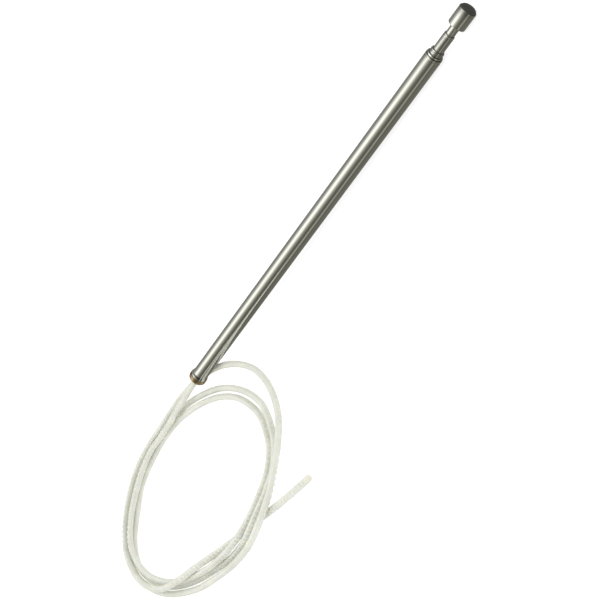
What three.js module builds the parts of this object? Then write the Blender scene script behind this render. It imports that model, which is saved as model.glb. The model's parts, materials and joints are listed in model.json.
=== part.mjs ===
// Replacement mast of a car power antenna, lying on a bench with its drive cord in loose loops.
// Three steel tubes and a rod telescope inside each other. A toothed nylon cord is fixed to the
// rod's lower end, leaves through the mast's foot, and pushes the sections out and in.
// Millimetres, +Z up, tip towards +X. Places along the mast are measured from its foot.
import * as THREE from "three";

// Outer section
const OUTER_DIAMETER = 8;
const OUTER_WALL = 0.45;
const OUTER_MOUTH_AT = 221.1;
const SHOULDER_LENGTH = 1.8;
const FLARE_SWELL = 0.5;
const FLARE_LENGTH = 2.5;
const FLARE_EDGE = 0.2;

// Second section. Each sliding piece has a space round it, for its contact spring and stop collar,
// and rests a step further in than the piece around it.
const SECOND_SPACE = 0.4;
const SECOND_WALL = 0.3;
const SECOND_SHOWS = 2.1;
const SECOND_STEP = 1;
const SECOND_ROLL = 0.8;

// Third section
const THIRD_SPACE = 0.35;
const THIRD_WALL = 0.3;
const THIRD_SHOWS = 8.4;
const THIRD_STEP = 3;
const THIRD_ROLL = 0.6;

// Top rod and the ferrule that grips the cord
const ROD_SPACE = 0.4;
const SPIGOT_DIAMETER = 2.4;
const SPIGOT_LENGTH = 6;
const FERRULE_SPACE = 0.15;
const FERRULE_STEP = 2;
const FERRULE_LENGTH = 18.95;
const FERRULE_WEB = 1.2;
const CRIMP_DEPTH = 0.15;
const CRIMP_WIDTH = 1.2;
const CRIMPS = 3;

// Tip cap
const NECK_SWELL = 0.3;
const NECK_LENGTH = 4.3;
const CAP_DIAMETER = 8;
const CAP_HEIGHT = 8.4;
const CAP_EDGE = 0.4;
const CAP_RIM = 0.35;
const INSERT_DEPTH = 1;
const INSERT_DOME = 1.6;

// Foot bush
const BUSH_SWELL = 0.65;
const BUSH_SHOWS = 3;
const BUSH_LENGTH = 9;
const BUSH_EDGE = 0.8;

// Contact spring and stop collar at the lower end of each sliding section
const COLLAR_LENGTH = 5;
const SPRING_LENGTH = 7;
const SPRING_SLOT = 1.2;
const SPRING_FREE_PLAY = 0.08;

// Clearances: sliding fits, pieces fixed to each other, and end faces
const SLIDE_FIT = 0.05;
const SEAT_FIT = 0.03;
const END_GAP = 0.05;
const CORD_FIT = 0.2;
const CORD_GAP = 0.3;

// Drive cord: the diameter over its teeth, and how its route is cut into tubes
const CORD_DIAMETER = 3.3;
const CORD_SIDES = 8;
const CORD_RUNS = 4;
const CORD_STEPS_PER_RUN = 25;

// The mast rests on the cord near its foot and on the rim of its cap
const FOOT_TUBE_HEIGHT = 3.8;

const ROUND = 32;
const ARC_STEPS = 5;

const outerRadius = OUTER_DIAMETER / 2;
const outerBore = outerRadius - OUTER_WALL;
const flareRadius = outerRadius + FLARE_SWELL;
const bushRadius = outerRadius + BUSH_SWELL;
const secondRadius = outerBore - SECOND_SPACE;
const secondBore = secondRadius - SECOND_WALL;
const thirdRadius = secondBore - THIRD_SPACE;
const thirdBore = thirdRadius - THIRD_WALL;
const rodRadius = thirdBore - ROD_SPACE;
const neckRadius = rodRadius + NECK_SWELL;
const ferruleRadius = thirdBore - FERRULE_SPACE;
const cordRadius = CORD_DIAMETER / 2;
const cordBore = cordRadius + CORD_FIT;
const secondStart = BUSH_LENGTH + SECOND_STEP;
const thirdStart = secondStart + THIRD_STEP;
const ferruleStart = thirdStart + FERRULE_STEP;
const ferruleEnd = ferruleStart + FERRULE_LENGTH;
const rodStart = ferruleEnd + END_GAP;
const secondMouthAt = OUTER_MOUTH_AT + SECOND_SHOWS;
const thirdMouthAt = secondMouthAt + THIRD_SHOWS;
const capStart = thirdMouthAt + NECK_LENGTH;
const capRimAt = capStart + CAP_HEIGHT;
const footAxisHeight = outerRadius + FOOT_TUBE_HEIGHT;

// Route of the free cord from the foot: x along the mast, y to its left, z above the bench.
const CORD_ROUTE = [
  // out of the foot, down onto the loops and round the first turn
  [0, 0, 7.8], [-7, 0, 7.8], [-15.5, -0.5, 7.5], [-26.5, 0, 6.8], [-38.5, -0.5, 6], [-52, -0.5, 5.45],
  [-64, -0.5, 5.45], [-77, -4.5, 5.45], [-89.5, -12.5, 5.45], [-98.5, -22, 5.45], [-103.5, -34, 5.45],
  [-99.5, -48.5, 5.45], [-88.5, -63.5, 5.45], [-74.5, -75, 5.45], [-59.5, -84, 5.45], [-43, -90.5, 5.45],
  [-26.5, -95, 5.45], [-10.5, -97, 5.45], [4, -96.5, 5.45], [16.5, -94, 5.5], [27.5, -89, 4.9],
  [36, -81.5, 3.4], [40, -71.5, 2.1], [40.5, -60.5, 1.8], [38, -49.5, 1.8], [31.5, -38.5, 1.8],
  [22.5, -28, 1.8], [9, -17.5, 1.8], [-6, -9.5, 1.8],
  // second turn
  [-22, -3.5, 1.8], [-39, 0.5, 1.8], [-54.5, 1, 1.8], [-70.5, -1.5, 1.8], [-87, -7.5, 1.8],
  [-97.5, -19.5, 1.8], [-105.5, -32.5, 1.8], [-104.5, -48, 1.8], [-91.5, -65, 1.8], [-76, -77, 1.8],
  [-59.5, -85.5, 1.8], [-43, -91.5, 1.8], [-26.5, -95.5, 1.8], [-10.5, -98.5, 1.8], [1, -99, 2.4],
  [12, -99, 4.6], [24, -95.5, 5.4], [34, -90, 4.5], [41, -81, 2.5], [45, -71, 1.9], [45, -59.5, 1.8],
  [42.5, -47.5, 1.8], [35.5, -36, 1.8], [25, -24.5, 1.8], [11, -13.5, 1.8], [-5, -5, 1.8],
  // third turn
  [-20.5, 1, 1.8], [-37, 4.5, 1.8], [-55.5, 5.5, 1.8], [-74, 3, 1.8], [-90.5, -5, 1.8], [-102, -18.5, 1.8],
  [-110, -32, 1.8], [-109.5, -49.5, 1.8], [-93.5, -68.5, 1.8], [-77.5, -80.5, 1.8], [-60, -89.5, 1.8],
  [-43, -96, 1.8], [-25.5, -100, 1.8], [-8.5, -102.5, 1.8], [3.5, -102.5, 2], [14.5, -102, 3.7],
  [26.5, -99.5, 5.4], [36, -94, 5.4], [44, -85, 4.7], [49, -75.5, 3.5], [52.5, -64, 2.2], [53, -51.5, 1.8],
  [50, -39, 1.8], [43, -26, 1.8], [31, -13.5, 1.8], [15.5, -2.5, 1.8],
  // past the foot, over the loops, and under them to the cut end
  [0, 4.5, 1.8], [-15.5, 8, 2.4], [-29.5, 7, 4.2], [-45, 4.5, 5.6], [-64, 3.5, 5.7], [-80.5, 1, 5.5],
  [-95, -7, 5.5], [-106, -20, 5.5], [-110, -35.5, 5.5], [-105.5, -50, 5.7], [-96, -63, 6.7],
  [-82, -75, 8.4], [-67.5, -83.5, 9.2], [-50.5, -88.5, 9.5], [-34.5, -90.5, 8], [-18, -92, 5],
  [-1.5, -93.5, 2.7], [14.5, -95, 1.8], [30.5, -98, 1.8], [47, -100.5, 1.8], [63.5, -102.5, 1.8],
];

const materials = {
  steel: new THREE.MeshStandardMaterial({ color: 0xd8d8d4, metalness: 1, roughness: 0.18 }),
  insert: new THREE.MeshStandardMaterial({ color: 0x3c3c3a, metalness: 0, roughness: 0.35 }),
  brass: new THREE.MeshStandardMaterial({ color: 0xb08a4a, metalness: 1, roughness: 0.35 }),
  nylon: new THREE.MeshStandardMaterial({ color: 0xe8e9de, metalness: 0, roughness: 0.45 }),
};

// A profile is a closed loop of [radius, place], up the outside and back down the inside.
function turned(name, material, profile) {
  const points = profile.map(([radius, place]) => new THREE.Vector2(radius, place));
  if (points[0].x > 0) {
    points.push(points[0].clone());
  }
  const geometry = new THREE.LatheGeometry(points, ROUND);
  geometry.rotateZ(-Math.PI / 2);
  const mesh = new THREE.Mesh(geometry, material);
  mesh.name = name;
  return mesh;
}

// Points of a quarter of an ellipse about [radius, place], from one angle to another.
function arc(radius, place, acrossRadius, alongRadius, fromDegrees, toDegrees) {
  const points = [];
  for (let step = 0; step <= ARC_STEPS; step += 1) {
    const angle = THREE.MathUtils.degToRad(fromDegrees + ((toDegrees - fromDegrees) * step) / ARC_STEPS);
    points.push([radius + acrossRadius * Math.cos(angle), place + alongRadius * Math.sin(angle)]);
  }
  return points;
}

// The upper end of a section, rolled in until it guides the next section.
function rolledMouth(radius, bore, mouthAt, roll, guided) {
  const guide = guided + SLIDE_FIT;
  const lip = Math.max(guide + (radius - bore) / 2, radius - roll);
  const inside = mouthAt - roll;
  return [
    ...arc(lip, inside, radius - lip, roll, 0, 90),
    [guide, mouthAt],
    [guide, inside],
    [bore, inside - (bore - guide)],
  ];
}

function outerTube() {
  return turned("outer_tube", materials.steel, [
    [outerBore, BUSH_SHOWS],
    [flareRadius - FLARE_EDGE, BUSH_SHOWS],
    [flareRadius, BUSH_SHOWS + FLARE_EDGE],
    [outerRadius, BUSH_SHOWS + FLARE_LENGTH],
    ...rolledMouth(outerRadius, outerBore, OUTER_MOUTH_AT, SHOULDER_LENGTH, secondRadius),
  ]);
}

function footBush() {
  const shank = outerBore - SEAT_FIT;
  const seat = BUSH_SHOWS - END_GAP;
  return turned("foot_bush", materials.brass, [
    [cordBore, 0],
    ...arc(bushRadius - BUSH_EDGE, BUSH_EDGE, BUSH_EDGE, BUSH_EDGE, -90, 0),
    [bushRadius, seat],
    [shank, seat],
    [shank, BUSH_LENGTH],
    [cordBore, BUSH_LENGTH],
  ]);
}

function slidingTube(name, radius, bore, start, mouthAt, roll, guided) {
  return turned(name, materials.steel, [
    [bore, start],
    [radius, start],
    ...rolledMouth(radius, bore, mouthAt, roll, guided),
  ]);
}

// A ring fixed round a section's lower end, which meets the rolled mouth around it when fully out.
function stopCollar(name, onRadius, inBore, start) {
  const inside = onRadius + SEAT_FIT;
  const outside = inBore - SLIDE_FIT;
  return turned(name, materials.brass, [
    [inside, start],
    [outside, start],
    [outside, start + COLLAR_LENGTH],
    [inside, start + COLLAR_LENGTH],
  ]);
}

// A slotted band that keeps a section centred and in electrical contact with the one outside it.
function contactSpring(name, onRadius, inBore, start) {
  const inside = onRadius + SLIDE_FIT;
  const outside = inBore - SPRING_FREE_PLAY;
  const halfSlot = Math.asin(SPRING_SLOT / 2 / onRadius);
  const band = new THREE.Shape();
  band.absarc(0, 0, outside, halfSlot, 2 * Math.PI - halfSlot, false);
  band.absarc(0, 0, inside, 2 * Math.PI - halfSlot, halfSlot, true);
  const settings = { depth: SPRING_LENGTH, bevelEnabled: false, curveSegments: ROUND / 2 };
  const geometry = new THREE.ExtrudeGeometry(band, settings);
  geometry.rotateY(Math.PI / 2);
  geometry.translate(start, 0, 0);
  const mesh = new THREE.Mesh(geometry, materials.brass);
  mesh.name = name;
  return mesh;
}

function topRod() {
  const spigot = SPIGOT_DIAMETER / 2;
  return turned("top_rod", materials.steel, [
    [0, rodStart - SPIGOT_LENGTH],
    [spigot, rodStart - SPIGOT_LENGTH],
    [spigot, rodStart],
    [rodRadius, rodStart],
    [rodRadius, thirdMouthAt],
    [spigot, thirdMouthAt],
    [spigot, thirdMouthAt + SPIGOT_LENGTH],
    [0, thirdMouthAt + SPIGOT_LENGTH],
  ]);
}

// A sleeve with a bore at each end: the rod's spigot above the web, the cord's end below it.
function cordFerrule() {
  const upperBore = SPIGOT_DIAMETER / 2 + SEAT_FIT;
  const lowerBore = cordRadius + SEAT_FIT;
  const webTop = rodStart - SPIGOT_LENGTH - END_GAP;
  const crimped = webTop - FERRULE_WEB - ferruleStart;
  const crimps = [];
  for (let crimp = 0; crimp < CRIMPS; crimp += 1) {
    const middle = ferruleStart + (crimped * (crimp + 0.5)) / CRIMPS;
    crimps.push([ferruleRadius, middle - CRIMP_WIDTH / 2]);
    crimps.push([ferruleRadius - CRIMP_DEPTH, middle]);
    crimps.push([ferruleRadius, middle + CRIMP_WIDTH / 2]);
  }
  return turned("cord_ferrule", materials.brass, [
    [lowerBore, ferruleStart],
    [ferruleRadius, ferruleStart],
    ...crimps,
    [ferruleRadius, ferruleEnd],
    [upperBore, ferruleEnd],
    [upperBore, webTop],
    [0, webTop],
    [0, webTop - FERRULE_WEB],
    [lowerBore, webTop - FERRULE_WEB],
  ]);
}

// The end of the cord inside the mast, from just inside the foot to the ferrule's web.
function innerCord() {
  const end = rodStart - SPIGOT_LENGTH - FERRULE_WEB - 2 * END_GAP;
  return turned("inner_cord", materials.nylon, [
    [0, CORD_GAP],
    [cordRadius, CORD_GAP],
    [cordRadius, end],
    [0, end],
  ]);
}

function tipCap() {
  const radius = CAP_DIAMETER / 2;
  const bore = SPIGOT_DIAMETER / 2 + SEAT_FIT;
  const neckFoot = thirdMouthAt + END_GAP;
  const boreTop = thirdMouthAt + SPIGOT_LENGTH + END_GAP;
  const seat = radius - CAP_RIM;
  return turned("tip_cap", materials.steel, [
    [bore, neckFoot],
    [neckRadius, neckFoot],
    [neckRadius, capStart],
    ...arc(radius - CAP_EDGE, capStart + CAP_EDGE, CAP_EDGE, CAP_EDGE, -90, 0),
    [radius, capRimAt],
    [seat, capRimAt],
    [seat, capRimAt - INSERT_DEPTH],
    [0, capRimAt - INSERT_DEPTH],
    [0, boreTop],
    [bore, boreTop],
  ]);
}

function tipInsert() {
  const radius = CAP_DIAMETER / 2 - CAP_RIM - SEAT_FIT;
  const start = capRimAt - INSERT_DEPTH + END_GAP;
  return turned("tip_insert", materials.insert, [
    [0, start],
    [radius, start],
    ...arc(0, capRimAt, radius, INSERT_DOME, 0, 90),
  ]);
}

class CordRun extends THREE.Curve {
  constructor(route, from, to) {
    super();
    this.route = route;
    this.from = from;
    this.to = to;
  }

  getPoint(t, target = new THREE.Vector3()) {
    return this.route.getPointAt(this.from + (this.to - this.from) * t, target);
  }
}

// The free cord, cut into runs of equal length that meet face to face.
function freeCord() {
  const route = new THREE.CatmullRomCurve3(CORD_ROUTE.map((point) => new THREE.Vector3(...point)));
  route.arcLengthDivisions = 40 * CORD_ROUTE.length;
  const halfGap = CORD_GAP / 2 / route.getLength();
  const section = new THREE.Shape();
  section.absarc(0, 0, cordRadius, 0, 2 * Math.PI, false);
  const cord = new THREE.Group();
  for (let run = 0; run < CORD_RUNS; run += 1) {
    const from = run === 0 ? 0 : run / CORD_RUNS + halfGap;
    const to = run === CORD_RUNS - 1 ? 1 : (run + 1) / CORD_RUNS - halfGap;
    const settings = {
      steps: CORD_STEPS_PER_RUN,
      curveSegments: CORD_SIDES / 2,
      extrudePath: new CordRun(route, from, to),
    };
    const mesh = new THREE.Mesh(new THREE.ExtrudeGeometry(section, settings), materials.nylon);
    mesh.name = `drive_cord_${run + 1}`;
    cord.add(mesh);
  }
  return cord;
}

const mast = new THREE.Group();
mast.add(
  outerTube(),
  footBush(),
  slidingTube("second_tube", secondRadius, secondBore, secondStart, secondMouthAt, SECOND_ROLL, thirdRadius),
  slidingTube("third_tube", thirdRadius, thirdBore, thirdStart, thirdMouthAt, THIRD_ROLL, rodRadius),
  topRod(),
  cordFerrule(),
  innerCord(),
  tipCap(),
  tipInsert(),
);

const slidingEnds = [
  ["second", secondRadius, outerBore, secondStart],
  ["third", thirdRadius, secondBore, thirdStart],
  ["rod", rodRadius, thirdBore, rodStart],
];
for (const [name, onRadius, inBore, start] of slidingEnds) {
  const collarStart = start + SPRING_LENGTH + END_GAP;
  mast.add(contactSpring(`${name}_contact_spring`, onRadius, inBore, start));
  mast.add(stopCollar(`${name}_stop_collar`, onRadius, inBore, collarStart));
}

// The mast leans down from the cord under its foot to the rim of its cap.
mast.rotation.y = Math.asin((footAxisHeight - CAP_DIAMETER / 2) / capRimAt);
mast.position.z = footAxisHeight;
mast.updateMatrixWorld(true);
const lying = new THREE.Box3().setFromObject(mast, true);
mast.position.z -= lying.min.z;

const part = new THREE.Group();
part.name = "power_antenna_mast";
part.add(mast, freeCord());
part.position.x = -(lying.min.x + lying.max.x) / 2;

export default part;
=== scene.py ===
"""A car power antenna's replacement mast on a pale bench, its toothed drive cord in loose loops.

Metres throughout. The mast's own pieces are built along its axis from its foot, in the mast's
frame: x along the axis, y to its left, z up and nearly vertical.
"""

import json
import math

import bpy
import numpy as np
from mathutils import Matrix, Quaternion, Vector


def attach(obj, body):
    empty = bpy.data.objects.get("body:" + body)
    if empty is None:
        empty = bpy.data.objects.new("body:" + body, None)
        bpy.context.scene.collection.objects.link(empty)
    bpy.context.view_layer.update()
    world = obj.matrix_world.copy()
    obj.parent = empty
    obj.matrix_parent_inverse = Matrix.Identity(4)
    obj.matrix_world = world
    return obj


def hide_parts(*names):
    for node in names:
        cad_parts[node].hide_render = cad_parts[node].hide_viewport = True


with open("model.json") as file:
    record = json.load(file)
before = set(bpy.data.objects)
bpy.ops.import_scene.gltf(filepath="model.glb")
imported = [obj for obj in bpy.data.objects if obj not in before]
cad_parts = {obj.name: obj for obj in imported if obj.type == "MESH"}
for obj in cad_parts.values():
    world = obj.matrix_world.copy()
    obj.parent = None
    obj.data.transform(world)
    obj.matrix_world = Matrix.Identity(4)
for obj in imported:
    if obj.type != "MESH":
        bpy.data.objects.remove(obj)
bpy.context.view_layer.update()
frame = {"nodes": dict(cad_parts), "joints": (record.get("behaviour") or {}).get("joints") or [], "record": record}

# Where the mast lies: its foot's centre from the foot mount, its direction from the slide joints
FOOT_MOUNT = frame["record"]["mounts"][0]["pos_m"]
FOOT = Vector((FOOT_MOUNT[0], 0, FOOT_MOUNT[2]))
AXIS = Vector(frame["joints"][0]["axis"]).normalized()
LEFT = Vector((0, 1, 0))
MAST = Matrix.Translation(FOOT) @ Matrix((AXIS, LEFT, AXIS.cross(LEFT))).transposed().to_4x4()
FLOOR_POINT = Vector((FOOT.x, 0, 0))

# Camera, from the floor point under the mast's foot
CAMERA_PLACE = Vector((0.4258, -0.3768, 0.2778))
CAMERA_AZIMUTH = math.radians(-46.62)
CAMERA_ELEVATION = math.radians(29.5)
CAMERA_ROLL = math.radians(-78.26)
CAMERA_LENS = 72.63
SENSOR_WIDTH = 36
NEAREST_SEEN = 0.01

# Outer section
OUTER_RADIUS = 0.004
OUTER_BORE = 0.00355
OUTER_MOUTH_AT = 0.2211
SHOULDER = 0.0018
FLARE_RADIUS = 0.0045
FLARE_LENGTH = 0.0025
FLARE_EDGE = 0.0002

# Second and third sections
SECOND_RADIUS = 0.00315
SECOND_BORE = 0.00285
SECOND_START = 0.010
SECOND_MOUTH_AT = 0.2232
SECOND_ROLL = 0.0008
THIRD_RADIUS = 0.0025
THIRD_BORE = 0.0022
THIRD_START = 0.013
THIRD_MOUTH_AT = 0.2316
THIRD_ROLL = 0.0006

# Top rod and tip cap
ROD_RADIUS = 0.0018
ROD_START = 0.034
SPIGOT_RADIUS = 0.0012
SPIGOT_LENGTH = 0.006
NECK_RADIUS = 0.0021
CAP_START = 0.2359
CAP_RIM_AT = 0.2443
CAP_RADIUS = 0.004
CAP_EDGE = 0.0004
CAP_RIM = 0.00035
RIM_ROUND = 0.0003
INSERT_DEPTH = 0.001
INSERT_DOME = 0.0016

# Foot bush
BUSH_RADIUS = 0.00465
BUSH_SHOWS = 0.003
BUSH_LENGTH = 0.009
BUSH_EDGE = 0.0008

# Rolled mouths: the pressed groove below the lip, and the chamfer down to the next section
GROOVE_DEPTH = 0.00012
GROOVE_HALF = 0.0004
GROOVE_BEFORE = 0.0006
MOUTH_CHAMFER = 0.00022
CHAMFER_PART = 0.9
CHAMFER_SLOPE = 1.5
LIP_ROUND = 0.00006

# Clearances and small rounds
SLIDE_FIT = 0.00005
SEAT_FIT = 0.00003
EDGE_ROUND = 0.00008

# Drive cord: a round cord with rack teeth cut into one side
CORD_RADIUS = 0.00165
CORD_BORE = 0.00185
TOOTH_PITCH = 0.00275
TOOTH_DEPTH = 0.0005
TOOTH_CREST = 0.00008
CREST_PART = 0.30
FLANK_PART = 0.20
CORD_SIDES = 28
ROUTE_STEPS = 24

ROUND = 192
ARC_STEPS = 10
SHARP_DEGREES = 35

# The cord's route from the floor point under the foot: the same points as its solids follow.
# The first list was typed over a plan worked out from places read in the
# photograph. Scripts then remapped it, moved most points to match the picture, and wrote it here
CORD_ROUTE = [
    # out of the foot, down onto the loops and round the first turn
    (0, 0, 0.0078), (-0.007, 0, 0.0078), (-0.0155, -0.0005, 0.0075), (-0.0265, 0, 0.0068),
    (-0.0385, -0.0005, 0.006), (-0.052, -0.0005, 0.00545), (-0.064, -0.0005, 0.00545),
    (-0.077, -0.0045, 0.00545), (-0.0895, -0.0125, 0.00545), (-0.0985, -0.022, 0.00545),
    (-0.1035, -0.034, 0.00545), (-0.0995, -0.0485, 0.00545), (-0.0885, -0.0635, 0.00545),
    (-0.0745, -0.075, 0.00545), (-0.0595, -0.084, 0.00545), (-0.043, -0.0905, 0.00545),
    (-0.0265, -0.095, 0.00545), (-0.0105, -0.097, 0.00545), (0.004, -0.0965, 0.00545),
    (0.0165, -0.094, 0.0055), (0.0275, -0.089, 0.0049), (0.036, -0.0815, 0.0034),
    (0.04, -0.0715, 0.0021), (0.0405, -0.0605, 0.0018), (0.038, -0.0495, 0.0018),
    (0.0315, -0.0385, 0.0018), (0.0225, -0.028, 0.0018), (0.009, -0.0175, 0.0018),
    (-0.006, -0.0095, 0.0018),
    # second turn
    (-0.022, -0.0035, 0.0018), (-0.039, 0.0005, 0.0018), (-0.0545, 0.001, 0.0018),
    (-0.0705, -0.0015, 0.0018), (-0.087, -0.0075, 0.0018), (-0.0975, -0.0195, 0.0018),
    (-0.1055, -0.0325, 0.0018), (-0.1045, -0.048, 0.0018), (-0.0915, -0.065, 0.0018),
    (-0.076, -0.077, 0.0018), (-0.0595, -0.0855, 0.0018), (-0.043, -0.0915, 0.0018),
    (-0.0265, -0.0955, 0.0018), (-0.0105, -0.0985, 0.0018), (0.001, -0.099, 0.0024),
    (0.012, -0.099, 0.0046), (0.024, -0.0955, 0.0054), (0.034, -0.09, 0.0045),
    (0.041, -0.081, 0.0025), (0.045, -0.071, 0.0019), (0.045, -0.0595, 0.0018),
    (0.0425, -0.0475, 0.0018), (0.0355, -0.036, 0.0018), (0.025, -0.0245, 0.0018),
    (0.011, -0.0135, 0.0018), (-0.005, -0.005, 0.0018),
    # third turn
    (-0.0205, 0.001, 0.0018), (-0.037, 0.0045, 0.0018), (-0.0555, 0.0055, 0.0018),
    (-0.074, 0.003, 0.0018), (-0.0905, -0.005, 0.0018), (-0.102, -0.0185, 0.0018),
    (-0.11, -0.032, 0.0018), (-0.1095, -0.0495, 0.0018), (-0.0935, -0.0685, 0.0018),
    (-0.0775, -0.0805, 0.0018), (-0.06, -0.0895, 0.0018), (-0.043, -0.096, 0.0018),
    (-0.0255, -0.1, 0.0018), (-0.0085, -0.1025, 0.0018), (0.0035, -0.1025, 0.002),
    (0.0145, -0.102, 0.0037), (0.0265, -0.0995, 0.0054), (0.036, -0.094, 0.0054),
    (0.044, -0.085, 0.0047), (0.049, -0.0755, 0.0035), (0.0525, -0.064, 0.0022),
    (0.053, -0.0515, 0.0018), (0.05, -0.039, 0.0018), (0.043, -0.026, 0.0018),
    (0.031, -0.0135, 0.0018), (0.0155, -0.0025, 0.0018),
    # past the foot, over the loops, and under them to the cut end
    (0, 0.0045, 0.0018), (-0.0155, 0.008, 0.0024), (-0.0295, 0.007, 0.0042),
    (-0.045, 0.0045, 0.0056), (-0.064, 0.0035, 0.0057), (-0.0805, 0.001, 0.0055),
    (-0.095, -0.007, 0.0055), (-0.106, -0.02, 0.0055), (-0.11, -0.0355, 0.0055),
    (-0.1055, -0.05, 0.0057), (-0.096, -0.063, 0.0067), (-0.082, -0.075, 0.0084),
    (-0.0675, -0.0835, 0.0092), (-0.0505, -0.0885, 0.0095), (-0.0345, -0.0905, 0.008),
    (-0.018, -0.092, 0.005), (-0.0015, -0.0935, 0.0027), (0.0145, -0.095, 0.0018),
    (0.0305, -0.098, 0.0018), (0.047, -0.1005, 0.0018), (0.0635, -0.1025, 0.0018),
]

# Which way the teeth face along the cord: (part of its length, degrees up from the loops' outside)
TOOTH_TWIST = [
    (0.00, 95), (0.06, 80), (0.11, 45), (0.16, 15), (0.23, 25), (0.31, 60), (0.42, 20), (0.50, 0),
    (0.57, -70), (0.63, -130), (0.68, -115), (0.73, -20), (0.79, 0), (0.85, 60), (0.90, 50),
    (0.95, 40), (1.00, 70),
]


def smooth_curve(points, steps):
    """The centripetal Catmull-Rom curve through points, with steps between each two of them."""
    knots = [np.array(point, float) for point in points]
    knots = [2 * knots[0] - knots[1], *knots, 2 * knots[-1] - knots[-2]]
    curve = []
    for p0, p1, p2, p3 in zip(knots, knots[1:], knots[2:], knots[3:]):
        spans = (p1 - p0, p2 - p1, p3 - p2)
        d0, d1, d2 = (math.sqrt(np.linalg.norm(span)) for span in spans)
        start = ((p1 - p0) / d0 - (p2 - p0) / (d0 + d1) + (p2 - p1) / d1) * d1
        end = ((p2 - p1) / d1 - (p3 - p1) / (d1 + d2) + (p3 - p2) / d2) * d1
        for t in np.arange(steps) / steps:
            bend = (2 * p1 - 2 * p2 + start + end) * t**3
            bend = bend + (3 * p2 - 3 * p1 - 2 * start - end) * t**2
            curve.append(p1 + start * t + bend)
    curve.append(knots[-2])
    return np.array(curve)


def lengths_along(curve):
    """How far along the curve each of its points is."""
    steps = np.linalg.norm(np.diff(curve, axis=0), axis=1)
    return np.concatenate([[0], np.cumsum(steps)])


def at_lengths(curve, along, wanted):
    """The curve's points at the wanted distances along it."""
    return np.stack([np.interp(wanted, along, curve[:, k]) for k in range(3)], axis=1)


def new_object(name, vertices, faces):
    mesh = bpy.data.meshes.new(name)
    mesh.from_pydata([tuple(v) for v in vertices], [], faces)
    mesh.update()
    mesh.shade_smooth()
    mesh.set_sharp_from_angle(angle=math.radians(SHARP_DEGREES))
    piece = bpy.data.objects.new(name, mesh)
    bpy.context.collection.objects.link(piece)
    return piece


def add_camera():
    data = bpy.data.cameras.new("camera")
    data.lens = CAMERA_LENS
    data.sensor_width = SENSOR_WIDTH
    data.clip_start = NEAREST_SEEN
    camera = bpy.data.objects.new("camera", data)
    bpy.context.collection.objects.link(camera)
    level = math.cos(CAMERA_ELEVATION)
    back = Vector((
        level * math.cos(CAMERA_AZIMUTH),
        level * math.sin(CAMERA_AZIMUTH),
        math.sin(CAMERA_ELEVATION),
    ))
    camera.location = FLOOR_POINT + CAMERA_PLACE
    camera.rotation_mode = "QUATERNION"
    camera.rotation_quaternion = back.to_track_quat("Z", "Y") @ Quaternion((0, 0, 1), CAMERA_ROLL)
    bpy.context.scene.camera = camera


def tooth_stations(length):
    """Places along the cord where its section changes, and the height of the toothed side there."""
    teeth = round(length / TOOTH_PITCH)
    pitch = length / teeth
    crest = CORD_RADIUS - TOOTH_CREST
    root = CORD_RADIUS - TOOTH_DEPTH
    places = []
    heights = []
    for tooth in range(teeth):
        for part, height in (
            (0, root),
            (FLANK_PART, crest),
            (FLANK_PART + CREST_PART, crest),
            (2 * FLANK_PART + CREST_PART, root),
        ):
            places.append((tooth + part) * pitch)
            heights.append(height)
    places.append(length)
    heights.append(root)
    return np.array(places), np.array(heights)


def add_cord(nylon):
    """The toothed cord. Its route stays on the bench, and its teeth turn slowly round it."""
    curve = smooth_curve(CORD_ROUTE, ROUTE_STEPS) + np.array(FLOOR_POINT)
    curve[:, 2] = np.maximum(curve[:, 2], CORD_RADIUS)
    along = lengths_along(curve)
    length = along[-1]
    places, heights = tooth_stations(length)
    centres = at_lengths(curve, along, places)
    tangents = np.gradient(centres, places, axis=0)
    tangents /= np.linalg.norm(tangents, axis=1)[:, None]
    outside = np.cross(tangents, (0, 0, 1))
    outside /= np.linalg.norm(outside, axis=1)[:, None]
    above = np.cross(outside, tangents)
    parts, degrees = zip(*TOOTH_TWIST)
    twist = np.radians(np.interp(places / length, parts, degrees))[:, None]
    towards = outside * np.cos(twist) + above * np.sin(twist)
    across = np.cross(tangents, towards)
    vertices = []
    for side in range(CORD_SIDES):
        angle = 2 * math.pi * side / CORD_SIDES
        height = np.minimum(CORD_RADIUS * math.cos(angle), heights)[:, None]
        vertices.append(centres + towards * height + across * CORD_RADIUS * math.sin(angle))
    vertices = np.stack(vertices, axis=1).reshape(-1, 3)
    rings = len(places)
    last = (rings - 1) * CORD_SIDES
    faces = [list(range(CORD_SIDES))[::-1], list(range(last, last + CORD_SIDES))]
    for ring in range(rings - 1):
        for side in range(CORD_SIDES):
            here = ring * CORD_SIDES + side
            beside = ring * CORD_SIDES + (side + 1) % CORD_SIDES
            faces.append((here, beside, beside + CORD_SIDES, here + CORD_SIDES))
    cord = new_object("drive_cord", vertices, faces)
    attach(cord, "outer_section")
    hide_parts("drive_cord_1", "drive_cord_2", "drive_cord_3", "drive_cord_4")
    cord.data.materials.append(nylon)


def arc(place, radius, along, across, from_degrees, to_degrees):
    """Points of an ellipse's arc about (place, radius), in degrees from outwards to the tip."""
    points = []
    for angle in np.radians(np.linspace(from_degrees, to_degrees, ARC_STEPS + 1)):
        points.append((place + along * math.sin(angle), radius + across * math.cos(angle)))
    return points


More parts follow.
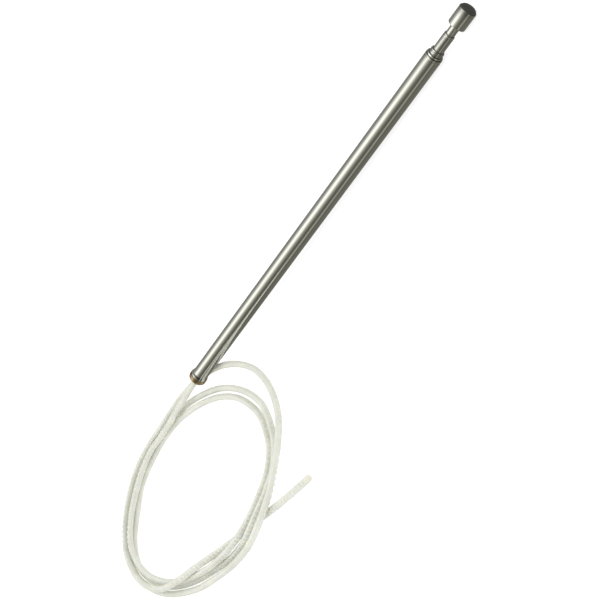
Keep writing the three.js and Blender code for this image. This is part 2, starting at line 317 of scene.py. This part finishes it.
def turned(name, node, body, material, profile):
    """A piece of revolution about the mast's axis. Its profile of (place, radius) points goes up
    the outside and down the inside, and starts and ends on the axis or closes on itself."""
    closed = profile[0][1] > 0
    rows = []
    vertices = []
    for place, radius in profile:
        if radius == 0:
            rows.append([len(vertices)] * ROUND)
            vertices.append((place, 0, 0))
            continue
        rows.append(list(range(len(vertices), len(vertices) + ROUND)))
        for side in range(ROUND):
            angle = 2 * math.pi * side / ROUND
            vertices.append((place, radius * math.sin(angle), radius * math.cos(angle)))
    if closed:
        rows.append(rows[0])
    faces = []
    for low, high in zip(rows, rows[1:]):
        for side in range(ROUND):
            beside = (side + 1) % ROUND
            corners = dict.fromkeys((low[side], high[side], high[beside], low[beside]))
            if len(corners) > 2:
                faces.append(tuple(corners))
    piece = new_object(name, vertices, faces)
    piece.matrix_world = MAST
    piece.data.materials.append(material)
    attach(piece, body)
    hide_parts(node)
    return piece


def rolled_mouth(radius, bore, mouth_at, roll, guided):
    """The upper end of a section: a pressed groove, a rolled lip, and a chamfer down to the guide
    round the next section, which keeps a dark line between the two."""
    guide = guided + SLIDE_FIT
    lip = max(guide + (radius - bore) / 2, radius - roll)
    inside = mouth_at - roll
    chamfer = min(MOUTH_CHAMFER, (lip - guide) * CHAMFER_PART)
    waist = inside - GROOVE_BEFORE
    groove = []
    for part in np.linspace(-1, 1, 2 * ARC_STEPS + 1):
        dip = GROOVE_DEPTH * (1 + math.cos(math.pi * part)) / 2
        groove.append((waist + part * GROOVE_HALF, radius - dip))
    return [
        *groove,
        *arc(inside, lip, roll, radius - lip, 0, 90),
        (mouth_at, guide + chamfer + LIP_ROUND),
        *arc(mouth_at - LIP_ROUND, guide + chamfer, LIP_ROUND, LIP_ROUND, 90, 135)[1:],
        (mouth_at - LIP_ROUND - chamfer * CHAMFER_SLOPE, guide),
        (inside, guide),
        (inside - (bore - guide), bore),
    ]


def add_outer_tube(steel):
    swell = FLARE_RADIUS - OUTER_RADIUS
    flare_side = []
    for part in np.linspace(0, 1, 2 * ARC_STEPS + 1)[1:]:
        place = BUSH_SHOWS + FLARE_EDGE + part * (FLARE_LENGTH - FLARE_EDGE)
        flare_side.append((place, OUTER_RADIUS + swell * (1 + math.cos(math.pi * part)) / 2))
    turned("outer_tube_skin", "outer_tube", "outer_section", steel, [
        (BUSH_SHOWS, OUTER_BORE),
        *arc(BUSH_SHOWS + FLARE_EDGE, FLARE_RADIUS - FLARE_EDGE, FLARE_EDGE, FLARE_EDGE, -90, 0),
        *flare_side,
        *rolled_mouth(OUTER_RADIUS, OUTER_BORE, OUTER_MOUTH_AT, SHOULDER, SECOND_RADIUS),
    ])


def add_foot_bush(brass):
    shank = OUTER_BORE - SEAT_FIT
    seat = BUSH_SHOWS - SLIDE_FIT
    turned("foot_bush_skin", "foot_bush", "outer_section", brass, [
        *arc(EDGE_ROUND, CORD_BORE + EDGE_ROUND, EDGE_ROUND, EDGE_ROUND, 180, 270),
        *arc(BUSH_EDGE, BUSH_RADIUS - BUSH_EDGE, BUSH_EDGE, BUSH_EDGE, -90, 0),
        (seat, BUSH_RADIUS),
        (seat, shank),
        (BUSH_LENGTH, shank),
        (BUSH_LENGTH, CORD_BORE),
    ])


def add_sliding_tube(name, body, steel, start, radius, bore, mouth_at, roll, guided):
    turned(f"{name}_skin", name, body, steel, [
        (start, bore),
        (start, radius),
        *rolled_mouth(radius, bore, mouth_at, roll, guided),
    ])


def add_top_rod(steel):
    turned("top_rod_skin", "top_rod", "top_section", steel, [
        (ROD_START - SPIGOT_LENGTH, 0),
        (ROD_START - SPIGOT_LENGTH, SPIGOT_RADIUS),
        (ROD_START, SPIGOT_RADIUS),
        (ROD_START, ROD_RADIUS),
        (THIRD_MOUTH_AT, ROD_RADIUS),
        (THIRD_MOUTH_AT, SPIGOT_RADIUS),
        (THIRD_MOUTH_AT + SPIGOT_LENGTH, SPIGOT_RADIUS),
        (THIRD_MOUTH_AT + SPIGOT_LENGTH, 0),
    ])


def add_tip_cap(steel):
    bore = SPIGOT_RADIUS + SEAT_FIT
    foot = THIRD_MOUTH_AT + SLIDE_FIT
    bore_top = THIRD_MOUTH_AT + SPIGOT_LENGTH + SLIDE_FIT
    seat = CAP_RADIUS - CAP_RIM
    turned("tip_cap_skin", "tip_cap", "top_section", steel, [
        (foot, bore),
        *arc(foot + EDGE_ROUND, NECK_RADIUS - EDGE_ROUND, EDGE_ROUND, EDGE_ROUND, -90, 0),
        *arc(CAP_START - RIM_ROUND, NECK_RADIUS + RIM_ROUND, RIM_ROUND, RIM_ROUND, 180, 90),
        *arc(CAP_START + CAP_EDGE, CAP_RADIUS - CAP_EDGE, CAP_EDGE, CAP_EDGE, -90, 0),
        *arc(CAP_RIM_AT - RIM_ROUND, CAP_RADIUS - RIM_ROUND, RIM_ROUND, RIM_ROUND, 0, 90),
        (CAP_RIM_AT, seat),
        (CAP_RIM_AT - INSERT_DEPTH, seat),
        (CAP_RIM_AT - INSERT_DEPTH, 0),
        (bore_top, 0),
        (bore_top, bore),
    ])


def add_tip_insert(dark):
    radius = CAP_RADIUS - CAP_RIM - SEAT_FIT
    start = CAP_RIM_AT - INSERT_DEPTH + SLIDE_FIT
    dome = arc(CAP_RIM_AT, 0, INSERT_DOME, radius, 0, 90)[:-1]
    turned("tip_insert_skin", "tip_insert", "top_section", dark, [
        (start, 0),
        (start, radius),
        *dome,
        (CAP_RIM_AT + INSERT_DOME, 0),
    ])


def new_material(name, metallic):
    """A material, its nodes' tree, and its Principled shader."""
    material = bpy.data.materials.new(name)
    material.use_nodes = True
    shader = material.node_tree.nodes["Principled BSDF"]
    shader.inputs["Metallic"].default_value = metallic
    return material, material.node_tree, shader


def noise(tree, scale, detail, stretch=(1, 1, 1)):
    """A noise texture in the piece's own coordinates, with scale in features per metre."""
    place = tree.nodes.new("ShaderNodeTexCoord")
    mapping = tree.nodes.new("ShaderNodeMapping")
    mapping.inputs["Scale"].default_value = stretch
    texture = tree.nodes.new("ShaderNodeTexNoise")
    texture.inputs["Scale"].default_value = scale
    texture.inputs["Detail"].default_value = detail
    tree.links.new(place.outputs["Object"], mapping.inputs["Vector"])
    tree.links.new(mapping.outputs["Vector"], texture.inputs["Vector"])
    return texture.outputs["Fac"]


def fill_ramp(ramp, stops):
    """Sets a colour ramp's stops, each a place from 0 to 1 and a (red, green, blue) colour."""
    elements = ramp.color_ramp.elements
    while len(elements) < len(stops):
        elements.new(1)
    for element, (place, colour) in zip(elements, stops):
        element.position = place
        element.color = (*colour, 1)


def colours(tree, shader, factor, stops):
    """The shader's base colour from a factor, through (place, (red, green, blue)) stops."""
    ramp = tree.nodes.new("ShaderNodeValToRGB")
    fill_ramp(ramp, stops)
    tree.links.new(factor, ramp.inputs["Fac"])
    tree.links.new(ramp.outputs["Color"], shader.inputs["Base Color"])


def roughness(tree, shader, factor, low, high):
    mapped = tree.nodes.new("ShaderNodeMapRange")
    mapped.inputs["To Min"].default_value = low
    mapped.inputs["To Max"].default_value = high
    tree.links.new(factor, mapped.inputs["Value"])
    tree.links.new(mapped.outputs["Result"], shader.inputs["Roughness"])


def bump(tree, shader, factor, strength, distance):
    node = tree.nodes.new("ShaderNodeBump")
    node.inputs["Strength"].default_value = strength
    node.inputs["Distance"].default_value = distance
    tree.links.new(factor, node.inputs["Height"])
    tree.links.new(node.outputs["Normal"], shader.inputs["Normal"])


def steel_material():
    """Polished stainless tube: fine drawing lines along it and faint clouding from handling."""
    material, tree, shader = new_material("polished_steel", metallic=1)
    lines = noise(tree, 1, 3, stretch=(25, 5000, 5000))
    clouds = noise(tree, 90, 3)
    colours(tree, shader, lines, [(0.3, (0.74, 0.74, 0.715)), (0.7, (0.82, 0.82, 0.80))])
    roughness(tree, shader, clouds, 0.09, 0.17)
    bump(tree, shader, lines, 0.06, 0.00001)
    return material


def brass_material():
    """Turned brass, a little tarnished, with fine turning marks round it."""
    material, tree, shader = new_material("turned_brass", metallic=1)
    marks = noise(tree, 1, 2, stretch=(9000, 60, 60))
    tarnish = noise(tree, 500, 4)
    colours(tree, shader, tarnish, [(0.35, (0.30, 0.22, 0.11)), (0.65, (0.60, 0.46, 0.27))])
    roughness(tree, shader, tarnish, 0.22, 0.42)
    bump(tree, shader, marks, 0.15, 0.00001)
    return material


def insert_material():
    """Dark moulded plastic with a fine grain."""
    material, tree, shader = new_material("dark_plastic", metallic=0)
    grain = noise(tree, 5000, 2)
    colours(tree, shader, grain, [(0.3, (0.028, 0.028, 0.024)), (0.7, (0.055, 0.055, 0.048))])
    roughness(tree, shader, grain, 0.3, 0.45)
    bump(tree, shader, grain, 0.15, 0.00003)
    return material


def nylon_material():
    """Natural nylon: ivory, faintly clouded, light passing into its edges and teeth."""
    material, tree, shader = new_material("natural_nylon", metallic=0)
    clouds = noise(tree, 130, 4)
    grain = noise(tree, 3500, 2)
    colours(tree, shader, clouds, [(0.3, (0.655, 0.665, 0.595)), (0.7, (0.73, 0.74, 0.68))])
    roughness(tree, shader, clouds, 0.32, 0.48)
    bump(tree, shader, grain, 0.12, 0.00003)
    shader.inputs["Subsurface Weight"].default_value = 0.5
    shader.inputs["Subsurface Radius"].default_value = (1, 0.88, 0.62)
    shader.inputs["Subsurface Scale"].default_value = 0.0025
    return material


def floor_material():
    """A pale bench that glows a little, so that shadows on it stay faint."""
    material, tree, shader = new_material("pale_bench", metallic=0)
    clouds = noise(tree, 6, 3)
    colours(tree, shader, clouds, [(0.3, (0.39, 0.39, 0.39)), (0.7, (0.41, 0.41, 0.41))])
    roughness(tree, shader, clouds, 0.6, 0.75)
    shader.inputs["Emission Color"].default_value = (1, 1, 1, 1)
    shader.inputs["Emission Strength"].default_value = 0.8
    return material


FLOOR_REACH = 3


def add_floor():
    far = FLOOR_REACH
    corners = [(-far, -far, 0), (far, -far, 0), (far, far, 0), (-far, far, 0)]
    floor = new_object("floor", corners, [(0, 1, 2, 3)])
    floor.data.materials.append(floor_material())
    floor.visible_glossy = False


# What polished steel sees round the mast, in brightness by degrees round its axis from the left
# horizon up over the top: a wide soft light overhead, and dimmer, warmer surroundings in front.
# The values were typed to follow the tones measured on the photograph's steel
STUDIO_STRENGTH = 1.95
STUDIO_FRONT = 114
OVERHEAD_TINT = (1, 1, 0.93)
FRONT_TINT = (1, 0.985, 0.83)
STUDIO = [
    (0, 0.25), (14, 0.21), (28, 0.17), (41, 0.20), (53, 0.30), (64, 0.46), (74, 0.69), (83, 0.98),
    (92, 1.06), (101, 0.98), (110, 0.76), (118, 0.51), (126, 0.33), (134, 0.235), (142, 0.165),
    (150, 0.115), (158, 0.09), (168, 0.09), (178, 0.14), (185, 0.31), (191, 0.29), (198, 0.13),
    (208, 0.105), (222, 0.12), (240, 0.13), (256, 0.12), (273, 0.15), (300, 0.21), (335, 0.24),
]

# And along it, by how far a direction leans to the tip: dark beyond the light's end, then one
# narrow light, which the rolled mouths and the cap's rim pick up as bright lines
STUDIO_ALONG = [
    (-1, 0.6), (-0.66, 0.64), (-0.335, 0.70), (-0.26, 0.24), (-0.12, 0.08), (-0.03, 0.2), (0.05, 1),
    (0.27, 1), (0.36, 0.25), (0.5, 0.12), (0.7, 0.2), (1, 0.3),
]

# A broad light that only matt surfaces take, from above and a little behind the foot
KEY_STRENGTH = 0.7
KEY_ANGLE = math.radians(60)
KEY_FROM = Vector((-0.35, 0.25, 1))


def add_studio():
    """Glossy surfaces see the studio. Matt ones and the camera see plain white."""
    world = bpy.data.worlds.new("studio")
    world.use_nodes = True
    tree = world.node_tree
    bpy.context.scene.world = world
    direction = tree.nodes.new("ShaderNodeTexCoord")
    split = tree.nodes.new("ShaderNodeSeparateXYZ")
    angle = tree.nodes.new("ShaderNodeMath")
    angle.operation = "ARCTAN2"
    turn = tree.nodes.new("ShaderNodeMath")
    turn.operation = "DIVIDE"
    turn.inputs[1].default_value = 2 * math.pi
    wrapped = tree.nodes.new("ShaderNodeMath")
    wrapped.operation = "FLOORED_MODULO"
    wrapped.inputs[1].default_value = 1
    ramp = tree.nodes.new("ShaderNodeValToRGB")
    stops = []
    for degrees, brightness in STUDIO:
        tint = OVERHEAD_TINT if degrees < STUDIO_FRONT else FRONT_TINT
        stops.append((degrees / 360, [brightness * part for part in tint]))
    fill_ramp(ramp, stops)
    light = tree.nodes["Background"]
    place = tree.nodes.new("ShaderNodeMapRange")
    place.inputs["From Min"].default_value = -1
    along = tree.nodes.new("ShaderNodeValToRGB")
    fill_ramp(along, [((x + 1) / 2, (part, part, part)) for x, part in STUDIO_ALONG])
    strength = tree.nodes.new("ShaderNodeMath")
    strength.operation = "MULTIPLY"
    strength.inputs[1].default_value = STUDIO_STRENGTH
    tree.links.new(split.outputs["X"], place.inputs["Value"])
    tree.links.new(place.outputs["Result"], along.inputs["Fac"])
    tree.links.new(along.outputs["Color"], strength.inputs[0])
    tree.links.new(strength.outputs["Value"], light.inputs["Strength"])
    backdrop = tree.nodes.new("ShaderNodeBackground")
    seen = tree.nodes.new("ShaderNodeLightPath")
    mix = tree.nodes.new("ShaderNodeMixShader")
    backdrop.inputs["Color"].default_value = (1, 1, 1, 1)
    tree.links.new(direction.outputs["Generated"], split.inputs["Vector"])
    tree.links.new(split.outputs["Z"], angle.inputs[0])
    tree.links.new(split.outputs["Y"], angle.inputs[1])
    tree.links.new(angle.outputs["Value"], turn.inputs[0])
    tree.links.new(turn.outputs["Value"], wrapped.inputs[0])
    tree.links.new(wrapped.outputs["Value"], ramp.inputs["Fac"])
    tree.links.new(ramp.outputs["Color"], light.inputs["Color"])
    tree.links.new(seen.outputs["Is Glossy Ray"], mix.inputs["Fac"])
    tree.links.new(backdrop.outputs["Background"], mix.inputs[1])
    tree.links.new(light.outputs["Background"], mix.inputs[2])
    tree.links.new(mix.outputs["Shader"], tree.nodes["World Output"].inputs["Surface"])
    data = bpy.data.lights.new("key", "SUN")
    data.energy = KEY_STRENGTH
    data.angle = KEY_ANGLE
    key = bpy.data.objects.new("key", data)
    key.rotation_euler = KEY_FROM.to_track_quat("Z", "Y").to_euler()
    key.visible_glossy = False
    bpy.context.collection.objects.link(key)


def finish_hidden_nodes(brass, nylon):
    """Better materials for the CAD nodes that stay: the ones inside the tubes."""
    hidden = {
        "second_stop_collar": brass,
        "second_contact_spring": brass,
        "third_stop_collar": brass,
        "third_contact_spring": brass,
        "rod_stop_collar": brass,
        "rod_contact_spring": brass,
        "cord_ferrule": brass,
        "inner_cord": nylon,
    }
    for node, material in hidden.items():
        frame["nodes"][node].material_slots[0].material = material


add_camera()
nylon = nylon_material()
add_cord(nylon)
bpy.context.scene.view_settings.view_transform = "Standard"
steel = steel_material()
brass = brass_material()
add_outer_tube(steel)
add_foot_bush(brass)
add_sliding_tube(
    "second_tube", "second_section", steel, SECOND_START, SECOND_RADIUS, SECOND_BORE,
    SECOND_MOUTH_AT, SECOND_ROLL, THIRD_RADIUS,
)
add_sliding_tube(
    "third_tube", "third_section", steel, THIRD_START, THIRD_RADIUS, THIRD_BORE,
    THIRD_MOUTH_AT, THIRD_ROLL, ROD_RADIUS,
)
add_top_rod(steel)
add_tip_cap(steel)
add_tip_insert(insert_material())
finish_hidden_nodes(brass, nylon)
add_floor()
add_studio()
